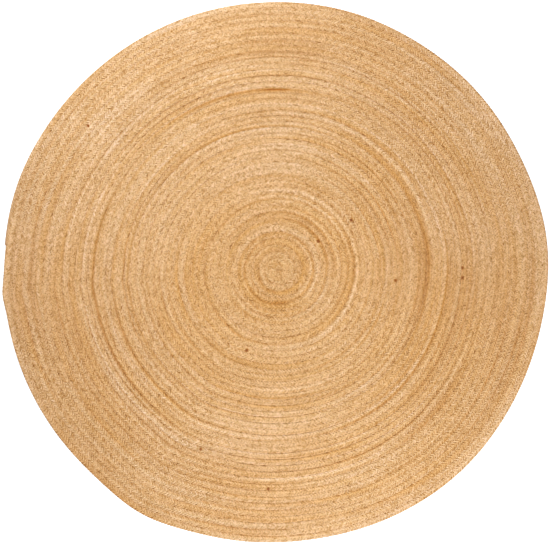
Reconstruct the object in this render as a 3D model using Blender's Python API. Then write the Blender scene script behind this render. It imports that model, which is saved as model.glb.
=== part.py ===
"""Round jute rug, about 1.5 m across: one long flat braid of jute, coiled from the middle
and sewn turn to turn into a single mat.

Metres, +Z up, seen from above with +Y at the top. The rug lies on z = 0, and the origin is
under the middle of its outline.
"""

import math
from collections import namedtuple

import bmesh
import bpy
from mathutils import Vector

# The mat
RIM_RADIUS = 0.7475  # mean radius of the outline
THICKNESS = 0.009  # from the floor to the back of the braid
COIL_START = Vector((0.0096, 0.0085))  # where the coil begins
RIM_MIDDLE = Vector((-0.0012, -0.0023))  # what the rim is measured from, so that its box is centred
END_DIRECTION = math.radians(186.0)  # where the outer end of the braid is sewn down
END_TAPER = math.radians(40.0)  # the stretch over which that end is thinned

# The braid, in section
SEAM_DEPTH = 0.0028  # how deep the seam between two turns lies
SHOULDER_SHARE = 0.26  # of a turn's width, from the seam up to the braid's flat back
RIM_HEIGHT = 0.0048  # where the rug's rounded edge reaches furthest out
FOOT_INSET = 0.0036  # from there in to where the edge meets the floor
SEAM_HEIGHT = THICKNESS - SEAM_DEPTH
END_HEIGHT = (SEAM_HEIGHT + RIM_HEIGHT) / 2  # of the braid's thinned end, between seam and rim
MIDDLE_HEIGHT = THICKNESS - SEAM_DEPTH / 2

# How wide the turns lie, from the middle out
Band = namedtuple("Band", "turns width_mm")
BANDS = (
    Band(turns=14, width_mm=18.1),
    Band(turns=17, width_mm=16.1),
    Band(turns=6, width_mm=16.9),
    Band(turns=7, width_mm=17.6),
)
TURNS = sum(band.turns for band in BANDS)
STEPS_PER_TURN = 44
FIRST_TURN = 0.25  # the braid's start lies cut off inside this part of the first turn

# Where the rim swells out or draws in, as unevenly as a hand-sewn coil does
Swell = namedtuple("Swell", "towards_deg half_width_deg swell_mm")
SWELLS = (
    Swell(7, 14, 9.2),
    Swell(42, 16, 3.0),
    Swell(74, 14, 1.9),
    Swell(130, 22, -1.8),
    Swell(161, 13, 4.9),
    Swell(184.5, 3, 8.5),
    Swell(212, 20, 2.7),
    Swell(241, 9, 12.0),
    Swell(278, 16, -6.0),
    Swell(314, 13, 2.0),
)


def rim_radius(direction):
    """How far the rim is from its middle, in a direction in radians."""
    radius = RIM_RADIUS
    for swell in SWELLS:
        turned = math.degrees(direction) - swell.towards_deg
        off = (turned + 180.0) % 360.0 - 180.0
        radius += 0.001 * swell.swell_mm * math.exp(-((off / swell.half_width_deg) ** 2))
    return radius


def wound_width(turn):
    """How much braid lies side by side between the middle and this turn."""
    width = 0.0
    for band in BANDS:
        within = min(max(turn, 0.0), band.turns)
        width += within * 0.001 * band.width_mm
        turn -= within
    return width


def braid_share(turn):
    """The braid's width at a turn of its outer edge, 1 where it is whole and 0 at its end."""
    left = min((TURNS - turn) * math.tau / END_TAPER, 1.0)
    return left * left * (3.0 - 2.0 * left)


def rim_turn(direction):
    """The turn that the rim has reached in a direction: the coil is outermost there."""
    past_end = ((direction - END_DIRECTION) / math.tau) % 1.0
    turn = TURNS - 1 + past_end
    return turn - 1.0 + braid_share(turn)


def coil_point(turn, direction, height):
    """A point of the coil, whose turns drift from being round its start to round the rim's middle."""
    reach = wound_width(turn) / wound_width(rim_turn(direction))
    middle = COIL_START.lerp(RIM_MIDDLE, reach * reach)
    radius = reach * rim_radius(direction)
    return Vector(
        (
            middle.x + radius * math.cos(direction),
            middle.y + radius * math.sin(direction),
            height,
        )
    )


def coil_the_braid(mesh):
    """The rug's upper side: a spiral of shoulders and seams, each seam shared by two turns."""
    first, last = round(FIRST_TURN * STEPS_PER_TURN), TURNS * STEPS_PER_TURN
    middle = mesh.verts.new(coil_point(0.0, 0.0, MIDDLE_HEIGHT))
    inner_shoulder, outer_shoulder, outer_edge = {}, {}, {}
    for step in range(first, last):
        turn = step / STEPS_PER_TURN
        direction = END_DIRECTION + math.tau * (turn - TURNS)
        inner = max(turn - 1.0, 0.0)
        width = min(turn, 1.0) * braid_share(turn)
        at_rim = turn > TURNS - 1
        edge_height = RIM_HEIGHT if at_rim else SEAM_HEIGHT
        back_height = END_HEIGHT + (THICKNESS - END_HEIGHT) * min(2.0 * width, 1.0)
        for row, share, height in (
            (inner_shoulder, SHOULDER_SHARE, back_height),
            (outer_shoulder, 1.0 - SHOULDER_SHARE, back_height),
            (outer_edge, 1.0, edge_height),
        ):
            row[step] = mesh.verts.new(coil_point(inner + share * width, direction, height))

    # The tail is sewn down to a point on the turn inside it
    tail = outer_edge[last - STEPS_PER_TURN]
    tail.co.z = END_HEIGHT
    inner_shoulder[last] = outer_shoulder[last] = outer_edge[last] = tail

    for step in range(first, last):
        inner_edge = {at: outer_edge.get(at - STEPS_PER_TURN, middle) for at in (step, step + 1)}
        rows = (inner_edge, inner_shoulder, outer_shoulder, outer_edge)
        for near, far in zip(rows, rows[1:]):
            corners = (near[step], far[step], far[step + 1], near[step + 1])
            mesh.faces.new(dict.fromkeys(corners))
    mesh.faces.new((middle, outer_edge[first], outer_shoulder[first], inner_shoulder[first]))


def close_the_underside(mesh):
    """The edge rolls in to the floor, and the underside lies flat on it."""
    rim = [edge for edge in mesh.edges if edge.is_boundary]
    rolled = bmesh.ops.extrude_edge_only(mesh, edges=rim)["geom"]
    for corner in rolled:
        if isinstance(corner, bmesh.types.BMVert):
            outward = corner.co.xy.normalized()
            corner.co.xy -= FOOT_INSET * outward
            corner.co.z = 0.0
    foot = [edge for edge in rolled if isinstance(edge, bmesh.types.BMEdge)]
    bmesh.ops.contextual_create(mesh, geom=foot)
    bmesh.ops.recalc_face_normals(mesh, faces=mesh.faces)


def jute_finish():
    """Undyed jute: a warm straw colour, dry and without gloss."""
    finish = bpy.data.materials.new("natural_jute")
    finish.use_nodes = True
    shader = finish.node_tree.nodes["Principled BSDF"]
    shader.inputs["Base Color"].default_value = (0.66, 0.40, 0.18, 1.0)
    shader.inputs["Roughness"].default_value = 0.85
    shader.inputs["Metallic"].default_value = 0.0
    return finish


def make_rug():
    """The whole rug is one braid, so it is one solid."""
    mesh = bmesh.new()
    coil_the_braid(mesh)
    close_the_underside(mesh)
    data = bpy.data.meshes.new("coiled_braid")
    mesh.to_mesh(data)
    mesh.free()
    data.materials.append(jute_finish())
    data.shade_smooth()
    data.set_sharp_from_angle(angle=math.radians(40.0))
    rug = bpy.data.objects.new("coiled_braid", data)
    bpy.context.scene.collection.objects.link(rug)


for old in list(bpy.data.objects):
    bpy.data.objects.remove(old, do_unlink=True)
make_rug()
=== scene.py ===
"""The looks of the round jute rug: one long flat braid of jute, coiled from the middle and
sewn turn to turn into a mat.

Metres, +Z up, seen from above with +Y at the top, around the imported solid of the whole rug.
"""

import math
from collections import namedtuple

import bmesh
import bpy
import numpy as np
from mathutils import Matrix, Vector


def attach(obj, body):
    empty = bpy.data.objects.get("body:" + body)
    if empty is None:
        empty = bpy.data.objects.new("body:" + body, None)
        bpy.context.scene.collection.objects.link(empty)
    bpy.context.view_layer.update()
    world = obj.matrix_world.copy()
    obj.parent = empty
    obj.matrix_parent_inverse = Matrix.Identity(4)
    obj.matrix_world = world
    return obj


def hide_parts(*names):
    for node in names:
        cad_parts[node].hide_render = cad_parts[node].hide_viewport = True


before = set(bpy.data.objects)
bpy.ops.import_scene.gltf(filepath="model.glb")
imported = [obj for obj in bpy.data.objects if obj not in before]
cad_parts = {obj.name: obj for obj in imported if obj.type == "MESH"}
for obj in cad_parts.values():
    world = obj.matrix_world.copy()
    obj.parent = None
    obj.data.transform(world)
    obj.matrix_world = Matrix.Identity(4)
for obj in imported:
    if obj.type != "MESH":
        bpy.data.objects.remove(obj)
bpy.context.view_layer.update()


# The coil: the line that the braid follows ------------------------------------------------
# A rug maker starts with the end of the braid in the middle and winds it round and round,
# sewing each turn to the one inside it. Worked by hand, the turns come out a little wider
# or narrower, and the rim swells out and draws in. These are the sizes of the rug's solid,
# but for the rim's, which follow the photograph a few millimetres more closely.

RIM_RADIUS = 0.7463  # mean radius of the outline
COIL_START = (0.0096, 0.0085)  # where the coil begins
RIM_MIDDLE = (0.0005, -0.0017)  # what the rim is measured from
END_DIRECTION = math.radians(186.0)  # where the outer end of the braid is sewn down
END_TAPER = math.radians(40.0)  # the stretch over which that end is thinned

Band = namedtuple("Band", "turns width_mm")
BANDS = (
    Band(turns=14, width_mm=18.1),
    Band(turns=17, width_mm=16.1),
    Band(turns=6, width_mm=16.9),
    Band(turns=7, width_mm=17.6),
)
TURNS = sum(band.turns for band in BANDS)

Swell = namedtuple("Swell", "towards_deg half_width_deg swell_mm")
SWELLS = (
    Swell(7, 14, 8.9),
    Swell(42, 16, 3.0),
    Swell(74, 14, 2.8),
    Swell(130, 22, -1.5),
    Swell(161, 13, 4.0),
    Swell(184.5, 3, 5.5),
    Swell(212, 20, 0.2),
    Swell(241, 9, 11.5),
    Swell(278, 16, -5.4),
    Swell(314, 13, 3.0),
)

# The seam between two turns wanders in and out in waves, by these shares of a turn's width
Wave = namedtuple("Wave", "per_turn size")
SEAM_WAVES = (Wave(3.17, 0.020), Wave(7.43, 0.018), Wave(12.9, 0.012), Wave(23.7, 0.008))
LAST_FREE_SEAM = TURNS - 1.2  # past this turn it follows the rim

# It also lies deep in some places and shallow in others, by so many metres
SEAM_LIFTS = (Wave(0.37, 0.0004), Wave(1.31, 0.0004), Wave(3.93, 0.0003), Wave(9.7, 0.0003))

# The maker drew some turns in tighter than others, so that their seams lie deeper all round
Depth = namedtuple("Depth", "turn deeper_mm")
SEAM_DEPTHS = (
    Depth(0.0, -0.9),
    Depth(3.0, -0.2),
    Depth(5.5, 0.5),
    Depth(8.0, 0.0),
    Depth(10.5, 0.5),
    Depth(13.0, 0.4),
    Depth(15.5, -0.8),
    Depth(18.0, 0.6),
    Depth(20.5, 0.4),
    Depth(23.0, 1.0),
    Depth(25.5, 0.3),
    Depth(28.0, -0.5),
    Depth(30.5, 1.5),
    Depth(33.0, 0.6),
    Depth(35.5, 0.0),
    Depth(38.0, -0.8),
    Depth(41.0, -0.5),
)

FIRST_TURN = 0.06  # the braid's inner end is tucked under here
LAST_TURN = TURNS - 0.033  # and its outer end is sewn down here, thinned to a stub
END_HEIGHT = 0.0055  # of the braid where it is thinned to nothing
THICKNESS = 0.009  # of the braid lying flat


def rim_radius(direction):
    """How far the rim is from its middle, in directions in radians."""
    radius = np.full_like(direction, RIM_RADIUS)
    for swell in SWELLS:
        turned = np.degrees(direction) - swell.towards_deg
        off = (turned + 180.0) % 360.0 - 180.0
        radius += 0.001 * swell.swell_mm * np.exp(-((off / swell.half_width_deg) ** 2))
    return radius


def wound_width(turn):
    """How much braid lies side by side between the middle and these turns."""
    width, first = 0.0, 0
    for band in BANDS:
        width = width + 0.001 * band.width_mm * np.clip(turn - first, 0, band.turns)
        first += band.turns
    return width


def braid_share(turn):
    """The braid's width where its outer edge is at these turns, 1 where it is whole."""
    left = np.clip((TURNS - turn) * math.tau / END_TAPER, 0.0, 1.0)
    return left * left * (3.0 - 2.0 * left)


def rim_turn(direction):
    """The turn that the rim has reached in these directions."""
    turn = TURNS - 1 + (direction - END_DIRECTION) / math.tau % 1.0
    return turn - 1.0 + braid_share(turn)


def seam_turn(turn):
    """Where the seam that these turns end at really lies, counted in turns from the middle.
    It wanders neither at the coil's start nor at the rim."""
    wander = sum(
        wave.size * np.sin(math.tau * wave.per_turn * turn + nth)
        for nth, wave in enumerate(SEAM_WAVES)
    )
    free = np.clip(turn - 1.0, 0.0, 1.0) * np.clip(LAST_FREE_SEAM - turn, 0.0, 1.0)
    return turn + wander * free


def seam_lift(turn):
    """How much nearer the top than usual the seam lies that these turns end at, in metres."""
    lift = sum(
        wave.size * np.sin(math.tau * wave.per_turn * turn + 2.0 * nth)
        for nth, wave in enumerate(SEAM_LIFTS)
    )
    return lift - 0.001 * np.interp(turn, *zip(*SEAM_DEPTHS))


def laid_width(turn):
    """The braid's width against a whole one: less in its first turn and where its end is thinned."""
    return np.minimum(turn, 1.0) * braid_share(turn)


def laid_thickness(turn):
    """The braid's thickness against a whole one."""
    thinned = np.minimum(2.0 * laid_width(turn), 1.0)
    return (END_HEIGHT + (THICKNESS - END_HEIGHT) * thinned) / THICKNESS


def on_the_coil(turn, across):
    """Where points of the braid lie, whose outer edge there is at these turns: their direction
    and their turns from the middle. Across is 0 at the braid's inner edge and 1 at its outer one."""
    inner = seam_turn(np.maximum(turn - 1.0, 0.0))
    outer = inner + laid_width(turn) * (seam_turn(turn) - seam_turn(turn - 1.0))
    return END_DIRECTION + math.tau * (turn - TURNS), inner + across * (outer - inner)


def on_the_floor(direction, at):
    """The x and y of points in these directions, so many turns from the middle."""
    reach = wound_width(at) / wound_width(rim_turn(direction))
    radius = reach * rim_radius(direction)
    x, y = (a + (b - a) * reach * reach for a, b in zip(COIL_START, RIM_MIDDLE))
    return x + radius * np.cos(direction), y + radius * np.sin(direction)


def turns_by_length():
    """Two rows: turns, and the length of braid from its inner end to each, along its middle."""
    turn = np.linspace(FIRST_TURN, LAST_TURN, 400 * TURNS)
    x, y = on_the_floor(*on_the_coil(turn, 0.5))
    steps = np.hypot(np.diff(x), np.diff(y))
    return turn, np.concatenate([[0.0], np.cumsum(steps)])


# One plait ----------------------------------------------------------------------------------
# The braid is three thick strands of loosely spun jute, plaited flat. Each strand in turn
# comes over from one edge, runs slanting to the middle and dips under the next, which makes
# a V on the upper side for every pair of crossings. This is the stretch of one such V.

PLAIT = 0.00835  # length of braid from one V to the next
WIDTH = 0.0165  # of the braid, flat
SLANT = 0.0085  # how far ahead of its edges the V's point lies
TIP_REACH = 0.0012  # how far a strand's tip reaches over the middle of the braid

# The braid's section, from its inner edge over the top and back underneath. The height is
# given on the back of a strand and in the crease between two.
Rib = namedtuple("Rib", "across back_mm crease_mm under")
RIBS = (
    Rib(-1.00, 7.2, 6.1, False),
    Rib(-0.78, 8.6, 6.3, False),
    Rib(-0.50, 9.0, 6.0, False),
    Rib(-0.22, 8.7, 6.2, False),
    Rib(0.00, 7.1, 7.1, False),
    Rib(0.22, 8.7, 6.2, False),
    Rib(0.50, 9.0, 6.0, False),
    Rib(0.78, 8.6, 6.3, False),
    Rib(1.00, 7.2, 6.1, False),
    Rib(0.50, 0.0, 1.6, True),
    Rib(0.00, 1.0, 1.0, True),
    Rib(-0.50, 0.0, 1.6, True),
    Rib(-1.00, 7.2, 6.1, False),
)
ROWS = 4  # from crease to crease
RISE = (0.0, 0.8, 1.0, 0.75, 0.0)  # of a strand over each row, from the crease to its back and down
INNER_RISE = (1.0, 0.75, 0.0, 0.8, 1.0)  # and on the inner half, half a plait further on
BULGE = 1.06  # of the edge, where a strand turns round it
PINCH = 1.00  # and where two strands meet there
WELD = 1e-5  # points that lie closer together than this are one


def lean(rib):
    """How far ahead of the braid's edge a strand lies at this rib: mostly straight on its slant,
    and a little bent round towards the edge. It runs back again below."""
    out = abs(rib.across)
    ahead = SLANT * (0.75 * (1.0 - out) + 0.25 * math.sqrt(1.0 - out * out))
    return -ahead if rib.under else ahead


def make_plait():
    """A mesh of one V, with its creases at both ends on the outer half and in the middle of
    the inner half."""
    mesh = bmesh.new()
    bmesh.ops.create_grid(mesh, x_segments=len(RIBS) - 1, y_segments=ROWS, size=0.5)
    plait_map = mesh.loops.layers.uv.new("plait")
    side_of = mesh.verts.layers.float.new("side")
    rise_of = mesh.verts.layers.float.new("rise")
    lean_of = mesh.verts.layers.float.new("lean")
    for face in mesh.faces:
        for corner in face.loops:
            corner[plait_map].uv = corner.vert.co.xy + Vector((0.5, 0.5))
    for point in mesh.verts:
        column = round((point.co.x + 0.5) * (len(RIBS) - 1))
        row = round((point.co.y + 0.5) * ROWS)
        rib = RIBS[column]
        coarser = rib.under or rib.across in (-1.0, 0.0, 1.0)
        if coarser:
            row -= row % 2
        rise = RISE[row] if rib.across > 0.0 else INNER_RISE[row]
        x = rib.across * WIDTH / 2
        if abs(rib.across) == 1.0:
            x *= PINCH + (BULGE - PINCH) * rise
        if rib.across == 0.0 and not rib.under:
            x = TIP_REACH * (1.0 - row % 4)  # the tips reach over the middle by turns
        height = rib.crease_mm + (rib.back_mm - rib.crease_mm) * rise
        point.co = (x, row * PLAIT / ROWS + lean(rib), 0.001 * height)
        point[side_of] = math.copysign(1.0, rib.across) if rib.across else 0.0
        point[rise_of] = rise
        point[lean_of] = lean(rib)
    bmesh.ops.remove_doubles(mesh, verts=mesh.verts, dist=WELD)
    data = bpy.data.meshes.new("plait")
    mesh.to_mesh(data)
    mesh.free()
    return data


# Stripes, stains and painted light ------------------------------------------------------------
# Here and there a strand is paler or darker than its neighbours for a part of a turn, and bits
# of bark have stayed in the jute. The wide marks are parts of the rug with a shade of their own;
# the whole rings and those along the rim are partly painted light and painted shade, for how
# the light falls on the middle and the rim.

# A mark is given by its middle, by half of what it measures along the braid and across the
# turns, and by how much paler it makes them. 999 degrees are all the way round.
Mark = namedtuple("Mark", "turn towards_deg half_deg half_turns tone")
MARKS = (
    # Parts of the rug, the whole rings and those on the outer turns partly painted light and shade
    Mark(0.0, 0, 999, 3.0, -0.07),
    Mark(18.0, 0, 999, 12.0, 0.015),
    Mark(43.0, 0, 999, 7.0, -0.03),
    Mark(33.0, 343, 24, 9.0, -0.10),
    Mark(36.0, 314, 10, 5.0, -0.06),
    Mark(35.0, 88, 10, 6.0, -0.05),
    Mark(36.8, 222, 10, 5.0, -0.05),
    Mark(42.4, 180, 8, 3.0, 0.05),
    Mark(42.5, 25, 20, 5.0, 0.06),
    Mark(42.0, 120, 14, 3.0, 0.07),
    Mark(42.5, 237, 10, 4.0, -0.07),
    Mark(42.2, 162, 6, 3.0, -0.05),
    Mark(33.3, 127, 12, 3.5, -0.05),
    Mark(42.5, 352, 10, 5.0, 0.03),
    Mark(28.1, 215, 13, 2.0, 0.05),
    Mark(37.6, 136, 14, 5.0, 0.08),
    Mark(26.7, 256, 20, 6.0, 0.06),
    Mark(16.7, 102, 28, 6.0, 0.07),
    Mark(5.9, 262, 45, 3.0, -0.06),
    # Single turns and strands, most of them found by a search for streaks in the photograph
    Mark(5.0, 274, 14, 0.4, -0.16),
    Mark(23.4, 0, 17, 0.8, -0.12),
    Mark(29.3, 90, 4, 0.2, -0.30),
    Mark(2.9, 197, 26, 0.16, -0.17),
    Mark(5.0, 8, 79, 0.16, 0.14),
    Mark(5.1, 240, 30, 0.18, -0.10),
    Mark(5.9, 337, 34, 0.16, 0.15),
    Mark(6.1, 106, 64, 0.16, 0.14),
    Mark(7.6, 42, 39, 0.20, -0.16),
    Mark(8.0, 226, 28, 0.16, -0.17),
    Mark(9.2, 83, 65, 0.16, 0.14),
    Mark(10.5, 11, 81, 0.18, -0.12),
    Mark(10.8, 125, 27, 0.16, -0.15),
    Mark(10.9, 212, 34, 0.16, -0.17),
    Mark(11.1, 62, 59, 0.14, 0.15),
    Mark(11.5, 2, 40, 0.16, -0.15),
    Mark(12.0, 18, 94, 0.16, 0.14),
    Mark(15.0, 245, 32, 0.18, -0.14),
    Mark(17.0, 321, 29, 0.18, -0.16),
    Mark(18.7, 275, 30, 0.18, 0.12),
    Mark(19.8, 69, 53, 0.14, 0.14),
    Mark(20.1, 299, 49, 0.18, -0.17),
    Mark(20.2, 35, 35, 0.16, -0.14),
    Mark(22.9, 170, 130, 0.16, 0.14),
    Mark(23.2, 155, 98, 0.20, -0.18),
    Mark(23.9, 4, 65, 0.30, -0.17),
    Mark(25.1, 42, 38, 0.18, 0.14),
    Mark(25.1, 141, 36, 0.22, 0.14),
    Mark(26.0, 7, 54, 0.16, -0.14),
    Mark(26.1, 217, 34, 0.20, -0.19),
    Mark(26.7, 29, 139, 0.20, 0.17),
    Mark(26.8, 254, 36, 0.18, 0.13),
    Mark(27.1, 1, 76, 0.18, -0.16),
    Mark(29.1, 190, 50, 0.24, -0.22),
    Mark(29.3, 84, 40, 0.24, -0.18),
    Mark(29.5, 282, 29, 0.18, 0.14),
    Mark(29.7, 343, 40, 0.28, -0.15),
    Mark(29.9, 112, 36, 0.18, 0.17),
    Mark(30.8, 186, 58, 0.18, 0.16),
    Mark(30.9, 90, 21, 0.18, 0.16),
    Mark(31.3, 42, 32, 0.18, -0.12),
    Mark(31.5, 354, 64, 0.18, 0.16),
    Mark(32.2, 314, 25, 0.26, -0.14),
    Mark(32.7, 97, 36, 0.18, 0.16),
    Mark(33.5, 284, 24, 0.22, 0.15),
    Mark(33.6, 142, 45, 0.18, 0.14),
    Mark(33.7, 338, 29, 0.16, -0.16),
    Mark(35.2, 49, 27, 0.16, -0.16),
    Mark(40.1, 341, 37, 0.16, -0.17),
    Mark(40.9, 336, 32, 0.16, -0.16),
    # The outermost turn, paler over its right and upper sides: painted light on the rim's rounded edge
    Mark(42.9, 30, 140, 0.60, 0.05),
)

Bark = namedtuple("Bark", "turn towards_deg")
BARK = (
    Bark(7.44, 35),
    Bark(12.88, 249),
    Bark(13.44, 34),
    Bark(18.31, 355),
    Bark(29.62, 1),
    Bark(29.69, 358),
    Bark(30.62, 247),
    Bark(35.00, 268),
    Bark(38.69, 142),
)
BARK_TURNS = 0.17  # half the width of a bit of bark, in turns
BARK_TONE = -1.6


def add_mark(tone, direction, at, mark):
    """The tone at these points of the rug with one more mark, which follows the braid."""
    off = (np.degrees(direction) - mark.towards_deg + 180.0) % 360.0 - 180.0
    across = (at - mark.turn - off / 360.0) / mark.half_turns
    return tone + mark.tone * np.exp(-across * across - (off / mark.half_deg) ** 4)


def marked_tone(direction, at):
    """How much paler than usual the jute is at these points: stains and streaks, and painted light and
    shade.
    """
    tone = np.zeros_like(at)
    for mark in MARKS:
        tone = add_mark(tone, direction, at, mark)
    for bark in BARK:
        half_deg = math.degrees(BARK_TURNS / bark.turn)
        tone = add_mark(tone, direction, at, Mark(*bark, half_deg, BARK_TURNS, BARK_TONE))
    return tone


# Natural jute -------------------------------------------------------------------------------
# Undyed, unbleached jute fibre, dry and faintly glossy. A strand keeps its shade for half a
# metre or so, from cream over straw to orange-brown, and no two strands are quite the same.

MIDDLE_RIB = 4 / 12  # where the plait's map has the middle of the upper side
UNDER_RIB = 10 / 12  # and the middle of the underside
YARNS = 3  # side by side in a strand
FLECK_GLINT_AND_SHADE = (0.80, 1.25, 2.35)  # how strongly flecks, painted glints and painted shade change the red, green and blue of a strand
PAINTED_RIM_HAZE = 0.09  # how much less saturated the jute is painted at the rim than in the middle, a painted haze of light
DARK_SIDE = 1.3  # how far shades and flecks lean to the dark side
DARKEST = -1.1  # the darkest that one can get
LIGHTER = 0.066  # how much paler all the jute is, which makes up for that lean
BARK_FROM = 0.145  # noise above this is a speck of bark
DUST_AND_SHADE_FROM = 0.07  # and above this dust and painted shade in a seam

Shade = namedtuple("Shade", "light red green blue")
SHADES = (
    Shade(0.00, 0.380, 0.098, 0.003),
    Shade(0.25, 0.503, 0.214, 0.043),
    Shade(0.50, 0.622, 0.354, 0.148),
    Shade(0.75, 0.740, 0.504, 0.294),
    Shade(1.00, 0.850, 0.668, 0.452),
)


def make_jute():
    """Jute, shaded by strand, by turn and by place, with fibres along each strand and some painted
    light and shade.
    """
    finish = bpy.data.materials.new("natural_jute")
    finish.use_nodes = True
    nodes, links = finish.node_tree.nodes, finish.node_tree.links
    shader = nodes["Principled BSDF"]

    def connect(value, socket):
        if isinstance(value, bpy.types.NodeSocket):
            links.new(value, socket)
        else:
            socket.default_value = value

    def number(operation, *values):
        node = nodes.new("ShaderNodeMath")
        node.operation = operation
        for value, socket in zip(values, node.inputs):
            connect(value, socket)
        return node.outputs[0]

    def place(x=0.0, y=0.0, z=0.0):
        node = nodes.new("ShaderNodeCombineXYZ")
        for value, socket in zip((x, y, z), node.inputs):
            connect(value, socket)
        return node.outputs[0]

    def noise(where, scale, detail=1.0):
        """Smooth noise, evenly about 0."""
        node = nodes.new("ShaderNodeTexNoise")
        links.new(where, node.inputs["Vector"])
        node.inputs["Scale"].default_value = scale
        node.inputs["Detail"].default_value = detail
        return number("SUBTRACT", node.outputs["Fac"], 0.5)

    def chance(value):
        """A number by lot for each whole value, evenly about 0."""
        node = nodes.new("ShaderNodeTexWhiteNoise")
        node.noise_dimensions = "1D"
        links.new(value, node.inputs["W"])
        return number("SUBTRACT", node.outputs["Value"], 0.5)

    plait_map = nodes.new("ShaderNodeUVMap")
    plait_map.uv_map = "plait"
    apart = nodes.new("ShaderNodeSeparateXYZ")
    links.new(plait_map.outputs[0], apart.inputs[0])
    around, along = apart.outputs[0], apart.outputs[1]
    here = nodes.new("ShaderNodeTexCoord").outputs["Object"]

    # The strand that shows here: they come up in turn, from the outer edge and the inner one
    outer_half = number(
        "MULTIPLY",
        number("GREATER_THAN", around, MIDDLE_RIB),
        number("LESS_THAN", around, UNDER_RIB),
    )
    inner_half = number("SUBTRACT", 1.0, outer_half)
    from_crease = number("MULTIPLY_ADD", inner_half, 0.5, along)
    pair = number("FLOOR", from_crease)
    crossing = number("MULTIPLY_ADD", pair, 2.0, outer_half)
    strand = number("MODULO", crossing, 3.0)

    # How light each stretch is: crossing by crossing, strand by strand and turn by turn
    yarn = number("FLOOR", number("MULTIPLY", from_crease, YARNS))
    by_crossing = chance(crossing)
    by_yarn = chance(number("MULTIPLY_ADD", outer_half, 0.37, yarn))

    def streaks(round_the_braid, plaits_long, apart_from_others):
        """Noise that is drawn out along the braid."""
        where = place(
            number("MULTIPLY", around, round_the_braid),
            number("MULTIPLY", along, 1 / plaits_long),
            apart_from_others,
        )
        return noise(where, 1.0)

    def specks(along_the_strand, across_it, detail):
        """Noise in specks, which are others on each strand that comes up."""
        where = place(
            number("MULTIPLY", around, along_the_strand),
            number("MULTIPLY", from_crease, across_it),
            crossing,
        )
        return noise(where, 1.0, detail)

    by_strand = streaks(0.0, 40.0, number("MULTIPLY", strand, 7.3))
    by_turn = streaks(0.0, 90.0, 31.0)
    by_half = streaks(3.0, 60.0, 32.0)
    by_line = streaks(9.0, 90.0, 33.0)
    by_place = noise(here, 2.5, 0.0)
    by_fibre = noise(place(number("MULTIPLY", around, 5.0), number("MULTIPLY", along, 12.0)), 1.0, 2.0)
    # Flecks of fibre in other shades, partly painted glints and painted shade in the gaps between
    # yarns
    by_fleck_glint_and_shade = specks(7.0, 3.8, 2.0)
    by_bark = number("MINIMUM", number("SUBTRACT", BARK_FROM, specks(6.5, 4.6, 0.0)), 0.0)

    # Dust and painted shade darken the seams in patches, and bits of bark lie in them
    off_middle = number("ABSOLUTE", number("MULTIPLY_ADD", around, 3.0, -1.0))
    in_seam = number("POWER", number("MINIMUM", off_middle, 1.0), 4.0)
    patchy_dust_and_shade = number("MINIMUM", number("SUBTRACT", DUST_AND_SHADE_FROM, streaks(5.0, 1.4, 35.0)), 0.0)
    by_seam_dust_and_shade = number("MULTIPLY", in_seam, patchy_dust_and_shade)
    # The marks' tones: stains and streaks, and painted light and shade in the middle and at the rim
    marked = nodes.new("ShaderNodeAttribute")
    marked.attribute_name = "tone"
    by_mark = marked.outputs["Fac"]

    def mix(*parts):
        """The parts with their strengths, leaning to the dark side and no darker than the darkest."""
        mixed = 0.0
        for part, strength in parts:
            mixed = number("MULTIPLY_ADD", part, strength, mixed)
        curved = number("MULTIPLY_ADD", number("MULTIPLY", mixed, mixed), -DARK_SIDE, mixed)
        return number("MAXIMUM", curved, DARKEST)

    streaked = mix(
        (by_strand, 0.20),
        (by_turn, 0.28),
        (by_half, 0.34),
        (by_mark, 0.7),
        (by_place, 0.12),
    )
    # Flecks, lines and specks, with the painted glints and painted shade of the flecks and the seams
    flecks_glints_and_shade = mix(
        (by_line, 0.40),
        (by_crossing, 0.14),
        (by_yarn, 0.30),
        (by_fibre, 0.36),
        (by_fleck_glint_and_shade, 1.50),
        (by_bark, 14.0),
        (by_seam_dust_and_shade, 8.0),
    )
    flecks_glints_and_shade = number("MULTIPLY_ADD", by_mark, 0.5, flecks_glints_and_shade)
    light = number("ADD", streaked, 0.5 + LIGHTER)

    # The strand's colour, a little richer in some places and less saturated towards the rim as a
    # painted haze of light, with its flecks, painted glints and painted shade
    ramp = nodes.new("ShaderNodeValToRGB")
    stops = ramp.color_ramp.elements
    while len(stops) < len(SHADES):
        stops.new(0.5)
    for stop, shade in zip(stops, SHADES):
        stop.position = shade.light
        stop.color = (shade.red, shade.green, shade.blue, 1.0)
    links.new(light, ramp.inputs[0])
    richness = nodes.new("ShaderNodeHueSaturation")
    from_origin = nodes.new("ShaderNodeVectorMath")
    from_origin.operation = "LENGTH"
    links.new(here, from_origin.inputs[0])
    towards_rim = number("DIVIDE", from_origin.outputs["Value"], RIM_RADIUS)
    painted_haze = number("MULTIPLY", number("MULTIPLY", towards_rim, towards_rim), -PAINTED_RIM_HAZE)
    rich = number("MULTIPLY_ADD", streaks(1.0, 40.0, 34.0), 0.25, 1.0 + PAINTED_RIM_HAZE / 2)
    links.new(number("ADD", rich, painted_haze), richness.inputs["Saturation"])
    links.new(ramp.outputs[0], richness.inputs["Color"])
    darker = place(*(number("EXPONENT", number("MULTIPLY", flecks_glints_and_shade, share)) for share in FLECK_GLINT_AND_SHADE))
    shaded = nodes.new("ShaderNodeVectorMath")
    shaded.operation = "MULTIPLY"
    links.new(darker, shaded.inputs[0])
    links.new(richness.outputs[0], shaded.inputs[1])
    links.new(shaded.outputs[0], shader.inputs["Base Color"])

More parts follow.
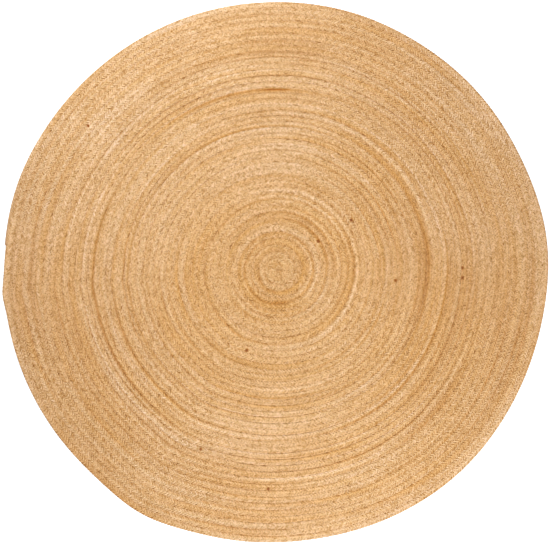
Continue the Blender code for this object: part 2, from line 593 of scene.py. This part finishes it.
    # The yarns of a strand stand out a little, and their fibres lie along them
    over_yarn = number("FRACT", number("MULTIPLY", from_crease, YARNS))
    from_back = number("ABSOLUTE", number("SUBTRACT", over_yarn, 0.5))
    groove = number("MULTIPLY", number("POWER", number("MULTIPLY", from_back, 2.0), 3.0), -0.7)
    bump = nodes.new("ShaderNodeBump")
    bump.inputs["Distance"].default_value = 0.0004
    bump.inputs["Strength"].default_value = 1.0
    links.new(number("ADD", groove, by_fibre), bump.inputs["Height"])
    links.new(bump.outputs[0], shader.inputs["Normal"])

    # The dry fibres have a faint gloss, warm like the jute
    shader.inputs["Roughness"].default_value = 0.5
    shader.inputs["Specular IOR Level"].default_value = 0.9
    shader.inputs["Specular Tint"].default_value = (1.0, 0.85, 0.50, 1.0)
    return finish


natural_jute = make_jute()


# The lengths of braid -----------------------------------------------------------------------
# The whole braid is about a hundred metres. It is made here in eight equal lengths, end to
# end, which is how such a rug is made too: a new length is plaited on where one runs out.

LENGTHS = 8
SHARP_FROM = math.radians(75.0)  # steeper creases stay sharp
UNEVEN_THICKNESS = 0.00028  # how much thicker or thinner than its like a strand comes out
UNEVEN_PLACE = 0.00045  # and how far ahead of its place along the braid, or behind it
EDGE = 0.45 * WIDTH  # further out than this from the braid's middle is its edge
RIM_HEIGHT = 0.0048  # where the rim's roundness reaches furthest out
RIM_RISE = 8.0  # the last turn's edge goes over from a seam to the rim in a turn's eighth

# In the middle the turns are so tight that the braid is squashed and lies almost square
START_OVERLAP = 0.16  # how much wider it is there, against its own width
START_OVERLAP_TURNS = 2.0  # and up to which turn
START_LIFT = 0.0018  # how much higher than a seam its inner edge lies
START_LIFT_TURNS = 1.2  # and up to which turn
SQUARE_TURNS = 1.6  # up to which turn the plaits slant less than in the straight braid

# A length's flat map for painted images has the braid in rows, one above the other
MAP_ROWS = 24
ENDS_ROOM = 5  # how many plaits' room is left in the last row for the length's two cut ends
CUT_END_PLACES = (4.0, 2.0)  # how many plaits before the end of that row they lie
CUT_END_SHARE = 0.4  # of a row's height, for a cut end
TOP_SHARE = 0.85  # and for the upper side of the braid
CREASE_SLACK = 1e-3  # of a plait, so that a face right at a row's start belongs to that row
UNDER_FROM = 8 / 12  # where the plait's map goes over from the upper side to the underside


def add_row_map(mesh, plaits):
    """The flat map of a length: so many plaits to the row, and the cut ends after the last one."""
    plait_map = mesh.loops.layers.uv["plait"]
    row_map = mesh.loops.layers.uv.new("OFBake")
    to_a_row = math.ceil((plaits + ENDS_ROOM) / MAP_ROWS)
    for face in mesh.faces:
        is_cut_end = len(face.verts) > 4
        first = min(corner[plait_map].uv.y for corner in face.loops)
        row = MAP_ROWS - 1 if is_cut_end else math.floor((first + CREASE_SLACK) / to_a_row)
        for corner in face.loops:
            point = corner.vert.co
            around, along = corner[plait_map].uv
            up = np.interp(around, (0.0, UNDER_FROM, 1.0), (0.0, TOP_SHARE, 1.0))
            right = along - row * to_a_row
            if is_cut_end:
                up = 0.5 + CUT_END_SHARE * point.x / WIDTH
                before = CUT_END_PLACES[0] if point.y < WIDTH else CUT_END_PLACES[1]
                right = to_a_row - before + point.z / THICKNESS
            corner[row_map].uv = (right / to_a_row, (row + up) / MAP_ROWS)


def make_straight_length(plaits):
    """A straight stretch of braid along +Y, closed at both ends."""
    plait = bpy.data.objects.new("straight_braid", make_plait())
    bpy.context.scene.collection.objects.link(plait)
    repeat = plait.modifiers.new("plaits", "ARRAY")
    repeat.count = plaits
    repeat.use_relative_offset = False
    repeat.use_constant_offset = True
    repeat.constant_offset_displace = (0.0, PLAIT, 0.0)
    repeat.offset_v = 1.0
    repeat.use_merge_vertices = True
    repeat.merge_threshold = WELD
    straight = plait.evaluated_get(bpy.context.evaluated_depsgraph_get())
    mesh = bmesh.new()
    mesh.from_mesh(straight.data)
    bpy.data.objects.remove(plait)
    bmesh.ops.remove_doubles(mesh, verts=mesh.verts, dist=WELD)
    ends = [edge for edge in mesh.edges if edge.is_boundary]
    bmesh.ops.holes_fill(mesh, edges=ends, sides=0)
    bmesh.ops.recalc_face_normals(mesh, faces=mesh.faces)
    if mesh.calc_volume(signed=True) < 0.0:  # so long and thin a shell can come out inside out
        bmesh.ops.reverse_faces(mesh, faces=mesh.faces)
    add_row_map(mesh, plaits)
    data = bpy.data.meshes.new("straight_braid")
    mesh.to_mesh(data)
    mesh.free()
    data.shade_smooth()
    data.set_sharp_from_angle(angle=SHARP_FROM)
    data.materials.append(natural_jute)
    return data


def read_points(data):
    points = np.empty(3 * len(data.vertices))
    data.vertices.foreach_get("co", points)
    return points.reshape(-1, 3)


def read_attribute(data, name):
    values = np.empty(len(data.vertices))
    data.attributes[name].data.foreach_get("value", values)
    return values


turns, wound = turns_by_length()
braid_length = wound[-1]
plaits_each = round(braid_length / PLAIT / LENGTHS)
straight_length = make_straight_length(plaits_each)

beside, along, height = read_points(straight_length).T
side, rise, leaning = (read_attribute(straight_length, name) for name in ("side", "rise", "lean"))
squarely = along - leaning
plait_number = squarely / PLAIT
for length in range(LENGTHS):
    # Strands come out a little thicker or thinner, and lie a little ahead or behind
    lot = np.random.default_rng(100 + length)
    strand = 2 * np.floor(plait_number + np.where(side < 0, 0.5, 0.0)).astype(int) + (side < 0) + 1
    strands = strand.max() + 1
    fuller = lot.normal(0.0, UNEVEN_THICKNESS, strands)[strand] * rise
    ahead = lot.normal(0.0, UNEVEN_PLACE, strands)[strand] * rise

    # The length is bent to the coil
    stretch = braid_length / (LENGTHS * plaits_each * PLAIT)
    at = (length * plaits_each * PLAIT + squarely) * stretch
    slanting = np.clip(np.interp(at, wound, turns) / SQUARE_TURNS, 0.0, 1.0)
    turn = np.interp(at + slanting * (leaning + ahead), wound, turns)
    pressed = 1.0 + START_OVERLAP * np.clip(START_OVERLAP_TURNS - turn, 0.0, 1.0)
    direction, turns_out = on_the_coil(turn, 0.5 + pressed * beside / WIDTH)
    x, y = on_the_floor(direction, turns_out)

    # Its edges go down into the seams, and at the rim to the rim's own height
    top = height + np.where(height > RIM_HEIGHT, fuller, 0.0)
    seam = np.where(side > 0, seam_lift(turn), seam_lift(turn - 1.0))
    top = top + seam * (np.abs(beside) > EDGE)
    top = top + START_LIFT * np.clip(START_LIFT_TURNS - turn, 0.0, 1.0) * (beside < -EDGE)
    outermost = np.clip((turn - (TURNS - 1)) * RIM_RISE, 0.0, 1.0) * (beside > EDGE)
    top = top + (RIM_HEIGHT - top) * outermost
    z = top * laid_thickness(turn)

    data = straight_length.copy()
    data.name = f"braid_{length + 1}"
    data.vertices.foreach_set("co", np.column_stack([x, y, z]).ravel())
    data.update()
    tone = data.attributes.new("tone", "FLOAT", "POINT")
    tone.data.foreach_set("value", marked_tone(direction, turns_out))
    plait_map = data.uv_layers["plait"].uv
    corners = np.empty(2 * len(data.loops))
    plait_map.foreach_get("vector", corners)
    corners[1::2] += length * plaits_each
    plait_map.foreach_set("vector", corners)
    braid = bpy.data.objects.new(data.name, data)
    bpy.context.scene.collection.objects.link(braid)
    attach(braid, "root")
    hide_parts("coiled_braid")
bpy.data.meshes.remove(straight_length)


# Floor, light and camera ----------------------------------------------------------------------
# The rug lies on a white floor between two softboxes, seen from straight above.

FLOOR_SIZE = 14.0
FLOOR_WHITE = (0.9, 0.9, 0.9, 1.0)
FLOOR_GLOW = (0.45, 0.58, 0.70, 1.0)  # so that it is white as far as one sees
ROOM_LIGHT = (1.31, 0.99, 0.67, 1.0)
ROOM_LIGHT_STRENGTH = 0.43
SOFTBOX_DIRECTION = math.radians(106.0)
SOFTBOX_OUT = 1.5
SOFTBOX_HEIGHT = 1.2
SOFTBOX_SIZE = (1.6, 1.0)
SOFTBOX_POWER = 29.5
SOFTBOX_LIGHT = (0.90, 1.06, 1.22)
CAMERA_X = 0.0014
CAMERA_HEIGHT = 6.0
FRAME_WIDTH = 1.514  # what the picture is wide, at the rug

mesh = bmesh.new()
bmesh.ops.create_grid(mesh, x_segments=1, y_segments=1, size=FLOOR_SIZE / 2)
floor_data = bpy.data.meshes.new("floor")
mesh.to_mesh(floor_data)
mesh.free()
floor = bpy.data.objects.new("floor", floor_data)
bpy.context.scene.collection.objects.link(floor)
white = bpy.data.materials.new("white_floor")
white.use_nodes = True
white_shader = white.node_tree.nodes["Principled BSDF"]
white_shader.inputs["Base Color"].default_value = FLOOR_WHITE
white_shader.inputs["Roughness"].default_value = 1.0
white_shader.inputs["Specular IOR Level"].default_value = 0.0
white_shader.inputs["Emission Color"].default_value = FLOOR_GLOW
white_shader.inputs["Emission Strength"].default_value = 1.0
floor_data.materials.append(white)

world = bpy.data.worlds.new("studio")
world.use_nodes = True
backdrop = world.node_tree.nodes["Background"]
backdrop.inputs["Color"].default_value = ROOM_LIGHT
backdrop.inputs["Strength"].default_value = ROOM_LIGHT_STRENGTH
bpy.context.scene.world = world

for box in range(2):
    direction = SOFTBOX_DIRECTION + math.pi * box
    light = bpy.data.lights.new(f"softbox_{box + 1}", "AREA")
    light.shape = "RECTANGLE"
    light.size, light.size_y = SOFTBOX_SIZE
    light.energy = SOFTBOX_POWER
    light.color = SOFTBOX_LIGHT
    softbox = bpy.data.objects.new(light.name, light)
    bpy.context.scene.collection.objects.link(softbox)
    softbox.location = (
        SOFTBOX_OUT * math.cos(direction),
        SOFTBOX_OUT * math.sin(direction),
        SOFTBOX_HEIGHT,
    )
    softbox.rotation_euler = (-softbox.location).to_track_quat("-Z", "Y").to_euler()
    softbox.visible_camera = False

lens = bpy.data.cameras.new("camera")
lens.sensor_width = 36.0
lens.lens = lens.sensor_width * (CAMERA_HEIGHT - THICKNESS) / FRAME_WIDTH
lens.clip_end = 50.0
camera = bpy.data.objects.new("camera", lens)
camera.location = (CAMERA_X, 0.0, CAMERA_HEIGHT)
bpy.context.scene.collection.objects.link(camera)
bpy.context.scene.camera = camera
bpy.context.scene.view_settings.view_transform = "Standard"
